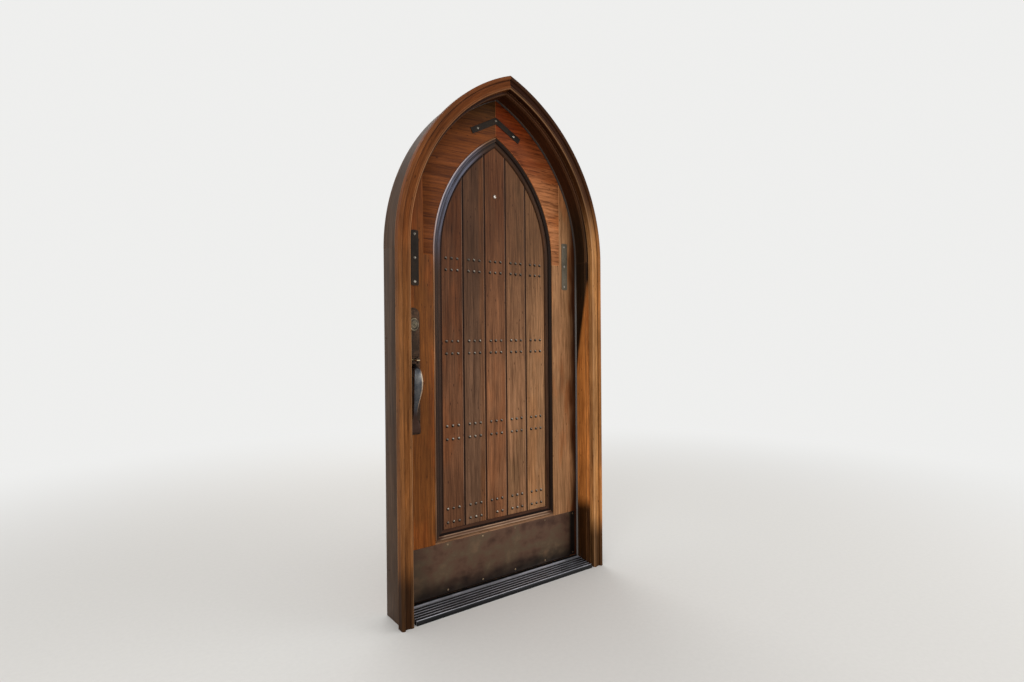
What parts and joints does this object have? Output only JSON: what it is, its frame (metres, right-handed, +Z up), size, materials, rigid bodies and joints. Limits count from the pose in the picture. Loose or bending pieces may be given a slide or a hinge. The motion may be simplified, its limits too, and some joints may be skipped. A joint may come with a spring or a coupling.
{
  "type": "arched wooden entrance door with frame",
  "caption": "Pointed-arch plank door hung in its own moulded wooden frame, with threshold, studs, iron plates, kick plate, grip handle, latch and deadbolt.",
  "frame": {"origin": "middle of the threshold's underside, in the plane of the leaf's outer face", "axes": "+X to the right seen from outside, +Y into the house, +Z up"},
  "size_m": [1.0146, 0.218, 2.1303],
  "materials": {
    "stile_wood": "oiled, orange-brown",
    "head_wood": "oiled, red-brown with a dark curl",
    "rail_wood": "oiled, brown",
    "plank_wood": "worn oil over weathered grain",
    "moulding_black": "near-black lacquer",
    "jamb_wood": "varnished",
    "casing_wood": "varnished, faded on the sunny side",
    "saddle_metal": "dark bronze anodised, worn",
    "seal_rubber": "matt grey",
    "forged_iron": "forged, waxed black",
    "kick_bronze": "dark bronze with scuffs",
    "dark_bronze": "oil-rubbed, bare on the edges",
    "lock_brass": "tarnished",
    "hinge_steel": "bronzed",
    "lens_glass": "clear"
  },
  "bodies": {
    "frame": {"threshold_saddle": "saddle_metal", "left_jamb": "jamb_wood", "right_jamb": "jamb_wood", "left_head_jamb": "jamb_wood", "right_head_jamb": "jamb_wood", "left_casing": "casing_wood", "right_casing": "casing_wood", "left_head_casing": "casing_wood", "right_head_casing": "casing_wood", "left_weather_seal": "seal_rubber", "right_weather_seal": "seal_rubber", "latch_strike": "lock_brass", "deadbolt_strike": "lock_brass", "frame_hinge_leaf_bottom": "hinge_steel", "frame_hinge_leaf_middle": "hinge_steel", "frame_hinge_leaf_top": "hinge_steel", "hinge_pins": "hinge_steel", "frame_screws": "lock_brass"},
    "leaf": {"left_stile": "stile_wood", "right_stile": "stile_wood", "left_head": "head_wood", "right_head": "head_wood", "bottom_rail": "rail_wood", "plank_1": "plank_wood", "plank_2": "plank_wood", "plank_3": "plank_wood", "plank_4": "plank_wood", "plank_5": "plank_wood", "left_panel_moulding": "moulding_black", "right_panel_moulding": "moulding_black", "left_head_moulding": "moulding_black", "right_head_moulding": "moulding_black", "bottom_panel_moulding": "moulding_black", "bottom_sweep": "seal_rubber", "panel_studs": "forged_iron", "left_mending_plate": "forged_iron", "right_mending_plate": "forged_iron", "chevron_plate": "forged_iron", "ironwork_screws": "forged_iron", "kick_plate": "kick_bronze", "kick_plate_screws": "kick_bronze", "back_plate": "dark_bronze", "grip_handle": "dark_bronze", "inside_plate": "dark_bronze", "lock_cylinder": "lock_brass", "viewer_barrel": "lock_brass", "viewer_eyepiece": "lock_brass", "latch_case": "lock_brass", "deadbolt_case": "lock_brass", "leaf_screws": "lock_brass", "door_hinge_leaf_bottom": "hinge_steel", "door_hinge_leaf_middle": "hinge_steel", "door_hinge_leaf_top": "hinge_steel", "viewer_lens": "lens_glass"},
    "latch": {"latch_bolt": "lock_brass"},
    "deadbolt": {"dead_bolt": "lock_brass"},
    "knob": {"inside_knob": "dark_bronze"},
    "turn": {"thumb_turn": "dark_bronze"},
    "plug": {"key_plug": "lock_brass"},
    "thumb": {"thumb_piece": "dark_bronze"}
  },
  "joints": [
    {"name": "leaf_swing", "type": "hinge", "parent": "frame", "child": "leaf", "pos_m": [0.4587, 0.05205, 0], "axis": [0, 0, -1], "range_deg": [0, 105]},
    {"name": "knob_turn", "type": "hinge", "parent": "leaf", "child": "knob", "pos_m": [-0.3969, 0.05, 0.9723], "axis": [0, 1, 0], "range_deg": [0, 45]},
    {"name": "latch_slide", "type": "slide", "parent": "leaf", "child": "latch", "axis": [-1, 0, 0], "range_m": [0, 0.0127]},
    {"name": "thumb_lift", "type": "hinge", "parent": "leaf", "child": "thumb", "pos_m": [-0.3969, -0.004, 0.976], "axis": [-1, 0, 0], "range_deg": [0, 12]},
    {"name": "turn_turn", "type": "hinge", "parent": "leaf", "child": "turn", "pos_m": [-0.3969, 0.05, 1.112], "axis": [0, 1, 0], "range_deg": [0, 90]},
    {"name": "deadbolt_slide", "type": "slide", "parent": "leaf", "child": "deadbolt", "axis": [-1, 0, 0], "range_m": [0, 0.0254]},
    {"name": "plug_turn", "type": "hinge", "parent": "leaf", "child": "plug", "pos_m": [-0.3969, 0, 1.112], "axis": [0, 1, 0], "range_deg": [0, 90]}
  ],
  "couplings": [
    {"joint": "latch_slide", "follows": "knob_turn", "m_per_rad": 0.01617},
    {"joint": "thumb_lift", "follows": "knob_turn", "ratio": 0.26666},
    {"joint": "deadbolt_slide", "follows": "turn_turn", "m_per_rad": 0.01617},
    {"joint": "plug_turn", "follows": "turn_turn", "ratio": 1}
  ]
}
